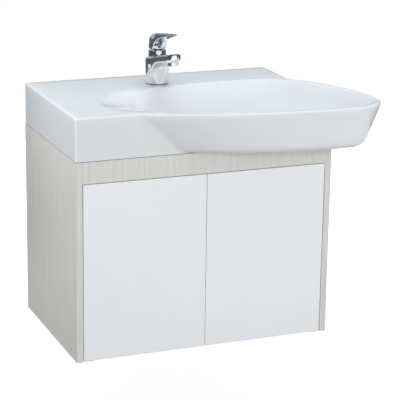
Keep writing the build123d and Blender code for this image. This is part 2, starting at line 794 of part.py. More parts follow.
# Outlet pipe, with a groove under the wall plate for the ring that grips it
outlet_pipe_start = waste_y + trap_body_r + 1
with BuildPart() as trap_outlet_pipe:
    rod((waste_x, outlet_pipe_start, outlet_z), (0, 1, 0), pipe_r,
        outlet_past_wall - outlet_pipe_start)
    with BuildSketch(Plane(origin=(waste_x, -ring_groove_width, outlet_z), z_dir=(0, 1, 0))):
        Circle(pipe_r)
        Circle(pipe_r - ring_groove_depth, mode=Mode.SUBTRACT)
    extrude(amount=ring_groove_width, mode=Mode.SUBTRACT)
    rod((waste_x, outlet_pipe_start, outlet_z), (0, 1, 0), pipe_inner_r,
        outlet_past_wall - outlet_pipe_start, mode=Mode.SUBTRACT)
finish(trap_outlet_pipe.part, "trap_outlet_pipe")

outlet_nut_start = trap_stub_end - 10
with BuildPart() as trap_outlet_nut:
    rod((waste_x, outlet_nut_start, outlet_z), (0, 1, 0), trap_nut_r, trap_nut_length)
    rod((waste_x, outlet_nut_start, outlet_z), (0, 1, 0), pipe_r + 3 + slip_gap,
        10 + slip_gap, mode=Mode.SUBTRACT)
    rod((waste_x, outlet_nut_start, outlet_z), (0, 1, 0), pipe_r + slip_gap,
        trap_nut_length, mode=Mode.SUBTRACT)
finish(trap_outlet_nut.part, "trap_outlet_nut")

# Wall plate round the outlet pipe
with BuildPart() as wall_plate:
    with BuildSketch(Plane.YZ.offset(waste_x)):
        with BuildLine():
            Polyline((0, outlet_z + pipe_r + slip_gap), (0, outlet_z + wall_plate_r),
                     (-wall_plate_lip, outlet_z + wall_plate_r),
                     (-wall_plate_depth, outlet_z + pipe_r + 4),
                     (-wall_plate_depth, outlet_z + pipe_r + slip_gap), close=True)
        make_face()
    revolve(axis=Axis((waste_x, 0, outlet_z), (0, 1, 0)))
finish(wall_plate.part, "wall_plate")

# Tap, built on the basin's deck. Heights below are above the deck, forward is towards -y.
def tap_point(forward, height):
    """Point in the tap's middle plane, as (forward, height) in the side view's own axes."""
    return (-tap_y + forward, rim_z + height)


tap_side = Plane(origin=(tap_x, 0, 0), x_dir=(0, -1, 0), z_dir=(-1, 0, 0))
slope_rise = math.tan(math.radians(tap_slope))
outlet_top = outlet_height + 14


def shoulder_at(forward):
    """Height of the tap's sloping top face at a distance forward of its axis."""
    return tap_shoulder_height + (forward + tap_body_r) * slope_rise


with BuildPart() as tap_gasket:
    turned(tap_x, tap_y, [
        (tap_hole_r + 1, rim_z), (tap_base_r - 1, rim_z),
        (tap_base_r - 1, rim_z + tap_gasket_thickness),
        (tap_hole_r + 1, rim_z + tap_gasket_thickness)])
finish(tap_gasket.part, "tap_gasket")

with BuildPart() as spout:
    with BuildSketch(Plane.XY.offset(rim_z)):
        with Locations((tap_x, tap_y)):
            Circle(tap_body_r)
        with Locations((tap_x, tap_y - spout_reach)):
            Circle(spout_nose_r)
        make_hull()
    extrude(amount=lever_rise)
    with BuildSketch(tap_side):
        with BuildLine():
            nose = spout_reach + spout_nose_r
            Line(tap_point(0, spout_root_height), tap_point(tap_body_r - 2, spout_root_height))
            ThreePointArc(tap_point(tap_body_r - 2, spout_root_height),
                          tap_point(36, spout_root_height + 18), tap_point(58, outlet_height - 3))
            Line(tap_point(58, outlet_height - 3), tap_point(nose, outlet_height + 9))
            Line(tap_point(nose, outlet_height + 9), tap_point(nose, shoulder_at(nose)))
            Line(tap_point(nose, shoulder_at(nose)), tap_point(0, shoulder_at(0)))
            Line(tap_point(0, shoulder_at(0)), tap_point(0, spout_root_height))
        make_face()
    extrude(amount=2 * tap_body_r, both=True, mode=Mode.INTERSECT)

with BuildPart() as tap_body:
    turned(tap_x, tap_y, [
        (0, rim_z + tap_gasket_thickness), (tap_base_r, rim_z + tap_gasket_thickness),
        (tap_body_r, rim_z + tap_taper_height), (tap_body_r, rim_z + lever_top),
        (0, rim_z + lever_top)])
    with BuildSketch(tap_side):
        with BuildLine():
            Polyline(tap_point(-2 * tap_body_r, shoulder_at(-2 * tap_body_r)),
                     tap_point(2 * tap_body_r, shoulder_at(2 * tap_body_r)),
                     tap_point(2 * tap_body_r, 2 * lever_top),
                     tap_point(-2 * tap_body_r, 2 * lever_top), close=True)
        make_face()
    extrude(amount=2 * tap_body_r, both=True, mode=Mode.SUBTRACT)
    add(spout.part)
    top_face = tap_body.faces().filter_by(
        lambda face: abs(face.normal_at().Z - math.cos(math.radians(tap_slope))) < 0.01)
    fillet(top_face.edges(), 4)
    rod((tap_x, tap_y, rim_z + tap_shoulder_height - 4), (0, 0, 1), tap_neck_r,
        tap_neck_height - tap_shoulder_height + 4)
    rod((tap_x, tap_y - spout_reach, rim_z + outlet_height + 3), (0, 0, 1),
        outlet_r + outlet_collar_wall, outlet_top - outlet_height)
    rod((tap_x, tap_y, rim_z + cartridge_floor), (0, 0, 1), cartridge_r + slip_gap,
        tap_neck_height, mode=Mode.SUBTRACT)
    rod((tap_x, tap_y - spout_reach, rim_z), (0, 0, 1), outlet_r + fit_gap, outlet_top,
        mode=Mode.SUBTRACT)
    rod((tap_x, tap_y - cartridge_r + 2, rim_z + tap_shoulder_height + 4),
        (0, -spout_reach + cartridge_r, outlet_top - tap_shoulder_height - 7), 4,
        spout_reach - cartridge_r, mode=Mode.SUBTRACT)
    rod((tap_x, tap_y + tap_stud_back, rim_z), (0, 0, 1), tap_stud_r + fit_gap, 14,
        mode=Mode.SUBTRACT)
    for side in (-1, 1):
        rod((tap_x + side * inlet_side, tap_y - inlet_forward, rim_z), (0, 0, 1), inlet_r,
            tap_gasket_thickness + inlet_depth, mode=Mode.SUBTRACT)
finish(tap_body.part, "tap_body")

# Cartridge: housing, the carrier that turns in it, and the stem that tilts on a pin
cartridge_top = tap_neck_height - 4
carrier_r = 10.5
carrier_bottom = tilt_height - 8
with BuildPart() as cartridge_housing:
    rod((tap_x, tap_y, rim_z + cartridge_floor), (0, 0, 1), cartridge_r,
        cartridge_top - cartridge_floor)
    rod((tap_x, tap_y, rim_z + carrier_bottom), (0, 0, 1), carrier_r + fit_gap,
        cartridge_top, mode=Mode.SUBTRACT)
finish(cartridge_housing.part, "cartridge_housing")

pin_r = 1.5
slot_width = stem_width + 2 * slip_gap
with BuildPart() as cartridge_carrier:
    rod((tap_x, tap_y, rim_z + carrier_bottom + slip_gap), (0, 0, 1), carrier_r,
        cartridge_top - carrier_bottom)
    block((tap_x - slot_width / 2, tap_x + slot_width / 2), (tap_y - carrier_r, tap_y + carrier_r),
          (rim_z + tilt_height - 6.5, rim_z + tilt_height + 2 * carrier_r), mode=Mode.SUBTRACT)
    rod((tap_x - carrier_r, tap_y, rim_z + tilt_height), (1, 0, 0), pin_r + fit_gap,
        2 * carrier_r, mode=Mode.SUBTRACT)
finish(cartridge_carrier.part, "cartridge_carrier")

with BuildPart() as carrier_pin:
    rod((tap_x - carrier_r + 1, tap_y, rim_z + tilt_height), (1, 0, 0), pin_r, 2 * carrier_r - 2)
finish(carrier_pin.part, "carrier_pin")

with BuildPart() as cartridge_stem:
    block((tap_x - stem_width / 2, tap_x + stem_width / 2),
          (tap_y - stem_width / 2, tap_y + stem_width / 2),
          (rim_z + tilt_height - stem_width / 2, rim_z + stem_top))
    rod((tap_x - stem_width, tap_y, rim_z + tilt_height), (1, 0, 0), pin_r + fit_gap,
        2 * stem_width, mode=Mode.SUBTRACT)
finish(cartridge_stem.part, "cartridge_stem")

# Nut that holds the cartridge down, and the domed ring over it
stem_room_r = 12.5
with BuildPart() as cartridge_nut:
    rod((tap_x, tap_y, rim_z + cartridge_top), (0, 0, 1), cartridge_r,
        tap_neck_height - cartridge_top)
    hexagon((tap_x, tap_y, rim_z + cartridge_top), 2 * stem_room_r,
            tap_neck_height - cartridge_top, mode=Mode.SUBTRACT)
finish(cartridge_nut.part, "cartridge_nut")

neck_top = tap_neck_height + tap_ring_height
with BuildPart() as neck_ring:
    turned(tap_x, tap_y, [
        (stem_room_r + 1, rim_z + tap_neck_height), (tap_neck_r, rim_z + tap_neck_height),
        (tap_neck_r - 0.6, rim_z + neck_top - 2.5), (tap_neck_r - 3, rim_z + neck_top),
        (stem_room_r + 1, rim_z + neck_top)])
finish(neck_ring.part, "neck_ring")

# Lever: a hood over the neck that runs out into a rising blade
with BuildPart() as blade:
    with BuildSketch(Plane.XY.offset(rim_z)):
        with Locations((tap_x, tap_y)):
            Circle(lever_r)
        with Locations((tap_x, tap_y - lever_reach + lever_tip_r)):
            Circle(lever_tip_r)
        make_hull()
    extrude(amount=2 * lever_rise)
    with BuildSketch(tap_side):
        with BuildLine():
            Spline(tap_point(-lever_r, lever_bottom + 18), tap_point(-12, lever_top - 3.5),
                   tap_point(6, lever_top + 1), tap_point(66, lever_rise - 7),
                   tap_point(lever_reach, lever_rise))
            Line(tap_point(lever_reach, lever_rise), tap_point(lever_reach, lever_rise - 2))
            Spline(tap_point(lever_reach, lever_rise - 2), tap_point(72, lever_rise - 13),
                   tap_point(40, lever_top - 4), tap_point(lever_r, lever_bottom + 16))
            Line(tap_point(lever_r, lever_bottom + 16), tap_point(lever_r, lever_bottom))
            Line(tap_point(lever_r, lever_bottom), tap_point(-lever_r, lever_bottom))
            Line(tap_point(-lever_r, lever_bottom), tap_point(-lever_r, lever_bottom + 18))
        make_face()
    extrude(amount=2 * lever_r, both=True, mode=Mode.INTERSECT)

boss_r = stem_width * 0.9 + 1
mark_y = tap_y - lever_r + mark_depth
with BuildPart() as tap_lever:
    add(blade.part)
    turned(tap_x, tap_y, [
        (boss_r, rim_z + lever_bottom), (lever_r - lever_wall, rim_z + lever_bottom),
        (lever_r - lever_wall, rim_z + lever_bottom + 14), (boss_r, rim_z + lever_top - 8)],
        mode=Mode.SUBTRACT)
    rod((tap_x, tap_y, rim_z + lever_bottom), (0, 0, 1), boss_r + fit_gap, 4, mode=Mode.SUBTRACT)
    block((tap_x - stem_width / 2 - slip_gap, tap_x + stem_width / 2 + slip_gap),
          (tap_y - stem_width / 2 - slip_gap, tap_y + stem_width / 2 + slip_gap),
          (rim_z + lever_bottom, rim_z + stem_top + slip_gap), mode=Mode.SUBTRACT)
    rod((tap_x, mark_y, rim_z + indicator_height), (0, -1, 0), indicator_r + fit_gap,
        mark_depth + 1, mode=Mode.SUBTRACT)
    rod((tap_x, tap_y, rim_z + indicator_height), (0, -1, 0), 2.5 + fit_gap, lever_r,
        mode=Mode.SUBTRACT)
finish(tap_lever.part, "tap_lever")

# Grub screw that clamps the lever on the stem, and the temperature mark that covers it
with BuildPart() as lever_grub_screw:
    rod((tap_x, tap_y - stem_width / 2 - slip_gap, rim_z + indicator_height), (0, -1, 0), 2.5,
        10)
    hexagon_plane = Plane(origin=(tap_x, tap_y - stem_width / 2 - slip_gap - 10,
                                  rim_z + indicator_height), z_dir=(0, 1, 0))
    with BuildSketch(hexagon_plane):
        RegularPolygon(1.25, 6, major_radius=False)
    extrude(amount=3, mode=Mode.SUBTRACT)
finish(lever_grub_screw.part, "lever_grub_screw")

with BuildPart() as temperature_mark:
    rod((tap_x, mark_y, rim_z + indicator_height), (0, -1, 0), indicator_r, mark_depth)
    fillet(temperature_mark.faces().sort_by(Axis.Y)[0].edges(), 0.8)
finish(temperature_mark.part, "temperature_mark")

# Aerator: a chrome collar with a perforated insert
with BuildPart() as aerator_collar:
    rod((tap_x, tap_y - spout_reach, rim_z + outlet_height), (0, 0, 1), outlet_r,
        outlet_top - outlet_height - slip_gap)
    rod((tap_x, tap_y - spout_reach, rim_z + outlet_height), (0, 0, 1), outlet_r - 2,
        outlet_top, mode=Mode.SUBTRACT)
finish(aerator_collar.part, "aerator_collar")

with BuildPart() as aerator_insert:
    rod((tap_x, tap_y - spout_reach, rim_z + outlet_height + 2), (0, 0, 1),
        outlet_r - 2 - fit_gap, 8)
    with BuildSketch(Plane.XY.offset(rim_z + outlet_height + 2)):
        with Locations((tap_x, tap_y - spout_reach)):
            with PolarLocations(6, 8):
                Circle(1.2)
            Circle(1.6)
    extrude(amount=8, mode=Mode.SUBTRACT)
finish(aerator_insert.part, "aerator_insert")

# Tap fixing under the deck: stud, rubber horseshoe, steel horseshoe and nut
deck_under = rim_z - basin_wall
horseshoe_r = tap_hole_r + 6
horseshoe_slot = 29
with BuildPart() as tap_stud:
    rod((tap_x, tap_y + tap_stud_back, rim_z - tap_stud_drop), (0, 0, 1), tap_stud_r,
        tap_stud_drop + 13)
finish(tap_stud.part, "tap_stud")


def horseshoe(top, thickness, label):
    """Horseshoe plate under the deck, open to the front for the supply tails."""
    with BuildPart() as shoe:
        with BuildSketch(Plane.XY.offset(top - thickness)):
            with Locations((tap_x, tap_y)):
                Circle(horseshoe_r)
            with Locations((tap_x, tap_y - horseshoe_r / 2 - 2)):
                Rectangle(horseshoe_slot, horseshoe_r + 8, mode=Mode.SUBTRACT)
            with Locations((tap_x, tap_y + tap_stud_back)):
                Circle(tap_stud_r + slip_gap, mode=Mode.SUBTRACT)
        extrude(amount=thickness)
    finish(shoe.part, label)


rubber_thickness = 2.5
steel_thickness = 2
stud_nut_height = 6.5
horseshoe(deck_under, rubber_thickness, "rubber_horseshoe")
horseshoe(deck_under - rubber_thickness, steel_thickness, "steel_horseshoe")
stud_nut_top = deck_under - rubber_thickness - steel_thickness
with BuildPart() as tap_stud_nut:
    hexagon((tap_x, tap_y + tap_stud_back, stud_nut_top - stud_nut_height), 13,
            stud_nut_height)
    rod((tap_x, tap_y + tap_stud_back, stud_nut_top - stud_nut_height), (0, 0, 1),
        tap_stud_r + slip_gap, stud_nut_height, mode=Mode.SUBTRACT)
finish(tap_stud_nut.part, "tap_stud_nut")
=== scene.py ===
import math

import bpy
import numpy as np
from mathutils import Matrix, Vector


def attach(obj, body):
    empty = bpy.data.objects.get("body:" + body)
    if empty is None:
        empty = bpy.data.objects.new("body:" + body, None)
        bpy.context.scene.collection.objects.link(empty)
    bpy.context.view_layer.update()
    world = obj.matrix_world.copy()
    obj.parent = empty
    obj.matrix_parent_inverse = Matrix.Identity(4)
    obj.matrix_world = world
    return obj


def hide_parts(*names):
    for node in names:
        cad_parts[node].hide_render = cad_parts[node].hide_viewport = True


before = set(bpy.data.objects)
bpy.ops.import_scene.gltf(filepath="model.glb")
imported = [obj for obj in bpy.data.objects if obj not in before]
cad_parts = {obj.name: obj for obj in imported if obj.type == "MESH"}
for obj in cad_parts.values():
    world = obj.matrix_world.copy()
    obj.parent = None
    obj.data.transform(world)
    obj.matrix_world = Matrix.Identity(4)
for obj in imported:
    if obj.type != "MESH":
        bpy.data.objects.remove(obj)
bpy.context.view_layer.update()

# Basin. One casting of glazed ceramic: a slab with a flat deck, a deep bowl that swells out
# past the slab's front and right side, and a shallow leaf-shaped tail at the bowl's left end.
# It is open underneath, and it lies on a bead of sealant on the cabinet's top edges.
basin_top = 141.0
basin_foot = 46.0
slab_half = (300.0, 191.5)
slab_middle = (0.0, -191.5)
waste_middle = (130.0, -283.0)
bowl_depth = 90.0


def slab_distance(x, y, shrink=0.0):
    """Signed distance in the plan to the slab, a rectangle whose corners have a 6 mm radius."""
    away_x = np.abs(x - slab_middle[0]) - slab_half[0] + shrink + 6
    away_y = np.abs(y - slab_middle[1]) - slab_half[1] + shrink + 6
    outside = np.hypot(np.maximum(away_x, 0), np.maximum(away_y, 0))
    return outside + np.minimum(np.maximum(away_x, away_y), 0) - 6


def bowl_distance(x, y, height):
    """Signed distance in the plan to the bowl's outer outline at a height. The outline is where
    a front disc and a side disc overlap, with their corner rounded. The discs' places and radii
    go evenly from the foot to the rim."""
    rise = np.clip((height - basin_foot) / (basin_top - basin_foot), 0, 1)
    start = 239 + rise * (140 - 239)
    crest = 275 + rise * 25
    front = 80 + rise * 13
    reach = 58 + rise * 45
    side_r = 298 + rise * 42
    corner_r = 35 + rise * 30
    run = crest + 300 - start
    front_r = (run**2 + front**2) / (2 * front)
    past_front = np.hypot(x - crest, y + 383 + front - front_r) - front_r
    past_side = np.hypot(x - 300 - reach + side_r, y + 383) - side_r
    rounded = np.hypot(np.maximum(past_front + corner_r, 0), np.maximum(past_side + corner_r, 0))
    return np.minimum(np.maximum(past_front, past_side), -corner_r) + rounded


def blend_lower(a, b, width):
    """The lower of two values, with a smooth changeover over a width."""
    share = np.clip(0.5 + 0.5 * (b - a) / width, 0, 1)
    return b + (a - b) * share - width * share * (1 - share)


def cross_out(distance, angles, near, far):
    """Radius at which each ray from the waste's middle leaves an outline, by halving the span
    between a radius inside it and one outside it thirty times."""
    low = np.full(np.broadcast(angles, distance(angles, near)).shape, float(near))
    high = np.full(low.shape, float(far))
    for _ in range(30):
        middle = (low + high) / 2
        inside = distance(angles, middle) < 0
        low, high = np.where(inside, middle, low), np.where(inside, high, middle)
    return (low + high) / 2


def on_ray(angles, radius):
    """Plan point at a radius from the waste's middle."""
    return waste_middle[0] + radius * np.cos(angles), waste_middle[1] + radius * np.sin(angles)


def outer_radius(angles, height, bowl_shrink, slab_shrink):
    """Radius of the basin's outside at a height: slab and bowl joined by a soft crease."""

    def distance(turn, radius):
        x, y = on_ray(turn, radius)
        return blend_lower(
            slab_distance(x, y, slab_shrink), bowl_distance(x, y, height) + bowl_shrink, 3.0)

    return cross_out(distance, angles, 40.0, 640.0)


def closed_spline(points, count=1440):
    """Smooth closed curve through points: a periodic cubic with Catmull-Rom slopes."""
    points = np.asarray(points, float)
    before, after, later = (np.roll(points, shift, 0) for shift in (1, -1, -2))
    t = np.linspace(0, 1, count // len(points), endpoint=False)[None, :, None]
    here = points[:, None]
    slope_here = (after - before)[:, None] / 2
    slope_next = (later - points)[:, None] / 2
    curve = (here * (2 * t**3 - 3 * t**2 + 1) + after[:, None] * (3 * t**2 - 2 * t**3)
             + slope_here * (t**3 - 2 * t**2 + t) + slope_next * (t**3 - t**2))
    return curve.reshape(-1, 2)


# The bowl's inner outline at the rim, clockwise from its right end
rim_places = [
    (388, -388), (372, -285), (322, -193), (250, -137), (150, -129), (30, -136), (-60, -157),
    (-118, -213), (-130, -283), (-95, -367), (0, -424), (130, -451), (260, -463), (340, -456),
    (377, -432)]


def rim_radius(angles):
    """Radius of the bowl's inner outline at the rim, read off the spline by angle."""
    curve = closed_spline(rim_places) - np.array(waste_middle)
    turn = np.mod(np.arctan2(curve[:, 1], curve[:, 0]), 2 * np.pi)
    order = np.argsort(turn)
    return np.interp(np.mod(angles, 2 * np.pi), turn[order],
                     np.hypot(curve[order, 0], curve[order, 1]), period=2 * np.pi)


def even_curve(knots, samples):
    """Smooth curve through rows of knots, by cubic pieces whose slopes come from the
    neighbouring knots."""
    knots = np.asarray(knots, float)
    slopes = np.gradient(knots, axis=0)
    place = np.clip(samples, 0, len(knots) - 1 - 1e-9)
    index = place.astype(int)
    t = (place - index)[..., None]
    return (knots[index] * (2 * t**3 - 3 * t**2 + 1) + knots[index + 1] * (3 * t**2 - 2 * t**3)
            + slopes[index] * (t**3 - 2 * t**2 + t) + slopes[index + 1] * (t**3 - t**2))


# How the bowl draws in on its way down: share of the rim's radius, added radius, and fall
bowl_profile = [
    (1, 0, 0), (0.965, 0, 16.2), (0.89, 0, 43.2), (0.74, 3, 68.4), (0.5, 10, 82.8),
    (0.24, 24, 88.6), (0, 37, 90)]
# The same at the left end, where the wall leans back into the tail
left_profile = [
    (1, 0, 0), (0.9, 0, 14), (0.76, 0, 36), (0.58, 3, 58), (0.38, 12, 76), (0.2, 24, 87),
    (0, 37, 90)]
# The tail, from its nose: distance from the slab's left side, front and rear limits, fall
tail_places = np.array([
    (97, 108, 118, 0.0), (100, 98, 128, 1.5), (112, 66, 160, 5), (135, 38, 196, 10),
    (175, 18, 219, 17), (230, -12, 229, 28), (300, -36, 242, 44)], float)


def tail_fall(x, y):
    """Fall of the tail below the deck: across it a shallow arc, along it read off its places.
    Outside the tail it is negative, in proportion to the distance from the tail."""
    along = x + 300
    near, back, fall = (np.interp(along, tail_places[:, 0], tail_places[:, k]) for k in (1, 2, 3))
    off_middle = y + 383 - (near + back) / 2
    half_width = (back - near) / 2
    past_side = np.abs(off_middle) - half_width
    past_nose = np.hypot(np.maximum(tail_places[0, 0] - along, 0), np.maximum(past_side, 0))
    fall = fall * np.clip((620 - along) / 320, 0, 1) * (1 - (off_middle / half_width)**2)
    return np.where((past_side < 0) & (along > tail_places[0, 0]), fall, -0.3 * past_nose)


def bowl_fall(angles, radius, table=np.linspace(6, 0, 241)):
    """Fall of the bowl below the deck at a radius. Past the rim the wall's slope goes on, so
    the fall is negative there."""
    steep, gentle = even_curve(bowl_profile, table), even_curve(left_profile, table)
    lean = np.clip(-np.cos(angles + 0.1), 0, 1)[..., None]**2
    rim = rim_radius(angles)
    radii = ((1 - lean) * (steep[:, 0] * rim[..., None] + steep[:, 1])
             + lean * (gentle[:, 0] * rim[..., None] + gentle[:, 1]))
    falls = (1 - lean) * steep[:, 2] + lean * gentle[:, 2]
    steps = (radius[..., None] >= radii).sum(-1)
    low = np.clip(steps - 1, 0, len(table) - 2)
    pick = np.take_along_axis
    r_low = pick(radii, low[..., None], -1)[..., 0]
    r_high = pick(radii, low[..., None] + 1, -1)[..., 0]
    share = np.clip((radius - r_low) / np.maximum(r_high - r_low, 1e-6), 0, 1)
    f_low = pick(falls, low[..., None], -1)[..., 0]
    f_high = pick(falls, low[..., None] + 1, -1)[..., 0]
    fall = f_low + (f_high - f_low) * share
    slope = (1 - lean[..., 0]) * 16.2 / (0.035 * rim) + lean[..., 0] * 14 / (0.1 * rim)
    return np.where(radius > rim, -(radius - rim) * slope, fall)


def top_height(angles, radius):
    """Height of the basin's upper face: the deck, less the deeper of bowl and tail, with the
    edges between them rounded."""
    x, y = on_ray(angles, radius)
    tail = tail_fall(x, y)
    hollow = -blend_lower(-bowl_fall(angles, radius), -tail, 12.0 + 2 * np.clip(tail, 0, 20))
    return basin_top + blend_lower(-hollow, np.zeros_like(hollow), 4.0)


def grid_mesh(name, points, capped=False, sharp=40):
    """Mesh object from a grid of points (rows, columns, xyz) in millimetres. The rows go round
    and close. The columns close too, or end in two flat caps. Shading is smooth, apart from
    edges past an angle."""
    rows, columns = points.shape[:2]
    index = np.arange(rows * columns).reshape(rows, columns)
    around = np.vstack([index, index[:1]])
    if not capped:
        around = np.hstack([around, around[:, :1]])
    quads = np.stack([around[:-1, :-1], around[:-1, 1:], around[1:, 1:], around[1:, :-1]], -1)
    corners = quads.ravel()
    starts = np.arange(0, corners.size, 4)
    if capped:
        starts = np.append(starts, [corners.size, corners.size + rows])
        corners = np.concatenate([corners, index[:, 0], index[::-1, -1]])
    mesh = bpy.data.meshes.new(name)
    mesh.vertices.add(rows * columns)
    mesh.vertices.foreach_set("co", (points.reshape(-1, 3) * 0.001).ravel())
    mesh.loops.add(corners.size)
    mesh.loops.foreach_set("vertex_index", corners)
    mesh.polygons.add(len(starts))
    mesh.polygons.foreach_set("loop_start", starts)
    mesh.update(calc_edges=True)
    mesh.validate()
    mesh.polygons.foreach_set("use_smooth", np.ones(len(mesh.polygons), bool))
    mesh.set_sharp_from_angle(angle=math.radians(sharp))
    piece = bpy.data.objects.new(name, mesh)
    bpy.context.scene.collection.objects.link(piece)
    return piece


def ray_angles():
    """Angles of the basin's rays: even, with more at its corners, creases and tail."""
    close = [(193.1, 1.2, 12), (146.6, 1.2, 12), (59, 1.8, 12), (40.3, 3, 12), (199, 3, 12),
             (207, 4, 12), (-33, 14, 24), (179, 17, 88)]
    extra = [math.radians(1) * (middle + np.linspace(-wide, wide, count))
             for middle, wide, count in close]
    even = np.linspace(0, 2 * np.pi, 300, endpoint=False)
    turns = np.unique(np.round(np.mod(np.concatenate([even, *extra]), 2 * np.pi), 5))
    return turns[np.concatenate([[True], np.diff(turns) > 2e-4])]


def basin_points():
    """Grid of the whole casting. One direction is the angle about the waste. The other runs
    from the waste hole over the bowl, the deck, the outside and the foot, and back under."""
    turn = ray_angles()[:, None]
    rim = rim_radius(turn)
    reach = outer_radius(turn, np.full_like(turn, basin_top - 5), 5.6, 5.0)
    probe = np.linspace(0, 1, 500)[None, :]
    radius = rim + (reach - rim) * probe
    x, y = on_ray(turn, radius)
    in_tail = tail_fall(x, y) > 0.05
    last = np.where(in_tail.any(1), 499 - np.argmax(in_tail[:, ::-1], 1), 0)[:, None]
    hollow_end = np.minimum(np.maximum(rim + (reach - rim) * last / 499, rim + 5), reach - 2.5)

    flange = 31.3
    wall_turns = even_curve(bowl_profile, np.linspace(6, 0.25, 30))
    inner = wall_turns[:, 0] * rim + wall_turns[:, 1]
    stations = [np.full_like(rim, flange), inner, rim + np.linspace(-4, 4.5, 8)[None, :]]
    stations.append(rim + 4.5 + (hollow_end - 2 - rim - 4.5) * np.linspace(0, 1, 58)[None, 1:])
    stations.append(hollow_end + np.linspace(-1.5, 4, 6)[None, :] * np.minimum(
        (reach - hollow_end) / 4, 1))
    stations.append(hollow_end + (reach - hollow_end) * np.linspace(0, 1, 9)[None, 1:])
    radii = np.maximum.accumulate(np.minimum(np.hstack(stations), reach), 1)
    top = np.stack([*on_ray(turn, radii), top_height(np.broadcast_to(turn, radii.shape), radii)],
                   -1)
    top[:, 0, 2] = basin_top - bowl_depth

    tilt = np.radians(np.linspace(75, 0, 6))
    edge_height = basin_top - 5 * (1 - np.sin(tilt))
    edge_in = 5 * (1 - np.cos(tilt))
    wall_height = np.linspace(basin_top - 5, basin_foot + 14, 7)[1:]
    foot_tilt = np.radians(np.linspace(0, 90, 7))[1:]
    foot_height = basin_foot + 14 * (1 - np.sin(foot_tilt))
    height = np.concatenate([edge_height, wall_height, foot_height])
    slab_in = np.concatenate([edge_in, np.zeros(12)])
    bowl_in = 0.6 + np.concatenate([edge_in, np.zeros(6), 14 * (1 - np.cos(foot_tilt))])
    slab_in[-1] = 1.0
    outside = outer_radius(turn, np.minimum(height, basin_top - 5)[None, :], bowl_in[None, :],
                           slab_in[None, :])
    side = np.stack([*on_ray(turn, outside), np.broadcast_to(height, outside.shape)], -1)

    hollow_r = cross_out(lambda a, r: slab_distance(*on_ray(a, r), 12.0), turn, 40.0, 640.0)
    last_r = outside[:, -1:]
    ledge_r = last_r + (np.minimum(hollow_r, last_r - 4) - last_r) * np.linspace(0, 1, 4)[None, 1:]
    ledge = np.stack([*on_ray(turn, ledge_r), np.full(ledge_r.shape, basin_foot)], -1)
    under_r = ledge_r[:, -1:] + (22.5 - ledge_r[:, -1:]) * np.linspace(0, 1, 26)[None, :]
    boss = basin_foot - 7 * np.clip((74 - under_r) / 24, 0, 1)
    wide_turn = np.broadcast_to(turn, under_r.shape)
    under_z = np.clip(top_height(wide_turn, np.maximum(under_r - 12, 31.5)) - 12, boss,
                      basin_top - 12)
    under = np.stack([*on_ray(turn, under_r), under_z], -1)

    bore_r = np.array([[22.5, flange]]) + 0 * turn
    bore_z = np.array([[48.0, 48.0]]) + 0 * turn
    bore = np.stack([*on_ray(turn, bore_r), bore_z], -1)
    return np.concatenate([top, side, ledge, under, bore], 1)


basin = grid_mesh("basin_casting", basin_points(), sharp=50)


def node_tree(material_name, settings):
    """New material with a Principled shader whose plain settings are given by name. Returns
    the material, its nodes, its links and the shader."""
    material = bpy.data.materials.new(material_name)
    material.use_nodes = True
    nodes, links = material.node_tree.nodes, material.node_tree.links
    shader = nodes["Principled BSDF"]
    for socket, value in settings.items():
        shader.inputs[socket].default_value = value
    return material, nodes, links, shader


def noise_of_object(nodes, links, scale, detail=2.0, rough=0.5, stretch=(1, 1, 1)):
    """Noise on object coordinates, stretched along the axes by a mapping."""
    place = nodes.new("ShaderNodeTexCoord")
    mapping = nodes.new("ShaderNodeMapping")
    mapping.inputs["Scale"].default_value = stretch
    noise = nodes.new("ShaderNodeTexNoise")
    noise.inputs["Scale"].default_value = scale
    noise.inputs["Detail"].default_value = detail
    noise.inputs["Roughness"].default_value = rough
    links.new(place.outputs["Object"], mapping.inputs["Vector"])
    links.new(mapping.outputs["Vector"], noise.inputs["Vector"])
    return noise.outputs["Fac"]


def two_tones(nodes, links, factor, low, high, first, second):
    """Colour ramp from one colour to another between two levels of a factor."""
    ramp = nodes.new("ShaderNodeValToRGB")
    ramp.color_ramp.elements[0].position = low
    ramp.color_ramp.elements[1].position = high
    ramp.color_ramp.elements[0].color = (*first, 1)
    ramp.color_ramp.elements[1].color = (*second, 1)
    links.new(factor, ramp.inputs["Fac"])
    return ramp.outputs["Color"]


def level_range(nodes, links, factor, low, high):
    """Map a factor from 0..1 to a range of levels."""
    spread = nodes.new("ShaderNodeMapRange")
    spread.inputs["To Min"].default_value = low
    spread.inputs["To Max"].default_value = high
    links.new(factor, spread.inputs["Value"])
    return spread.outputs["Result"]


def bump_of(nodes, links, shader, factor, strength, distance):
    """Relief on a shader's normal from a factor."""
    bump = nodes.new("ShaderNodeBump")
    bump.inputs["Strength"].default_value = strength
    bump.inputs["Distance"].default_value = distance
    links.new(factor, bump.inputs["Height"])
    links.new(bump.outputs["Normal"], shader.inputs["Normal"])


glaze, nodes, links, shader = node_tree(
    "white_glaze", {"IOR": 1.5, "Specular IOR Level": 0.35})
links.new(two_tones(nodes, links, noise_of_object(nodes, links, 7.0, 2.0), 0.35, 0.65,
                    (0.735, 0.760, 0.780), (0.760, 0.782, 0.800)), shader.inputs["Base Color"])
links.new(level_range(nodes, links, noise_of_object(nodes, links, 30.0), 0.07, 0.14),
          shader.inputs["Roughness"])
bump_of(nodes, links, shader, noise_of_object(nodes, links, 140.0, 1.0), 0.05, 0.0006)
basin.data.materials.append(glaze)
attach(basin, "cabinet")
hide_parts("basin")


def dress(material, *names):
    """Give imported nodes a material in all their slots."""
    for name in names:
        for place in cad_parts[name].material_slots:
            place.material = material


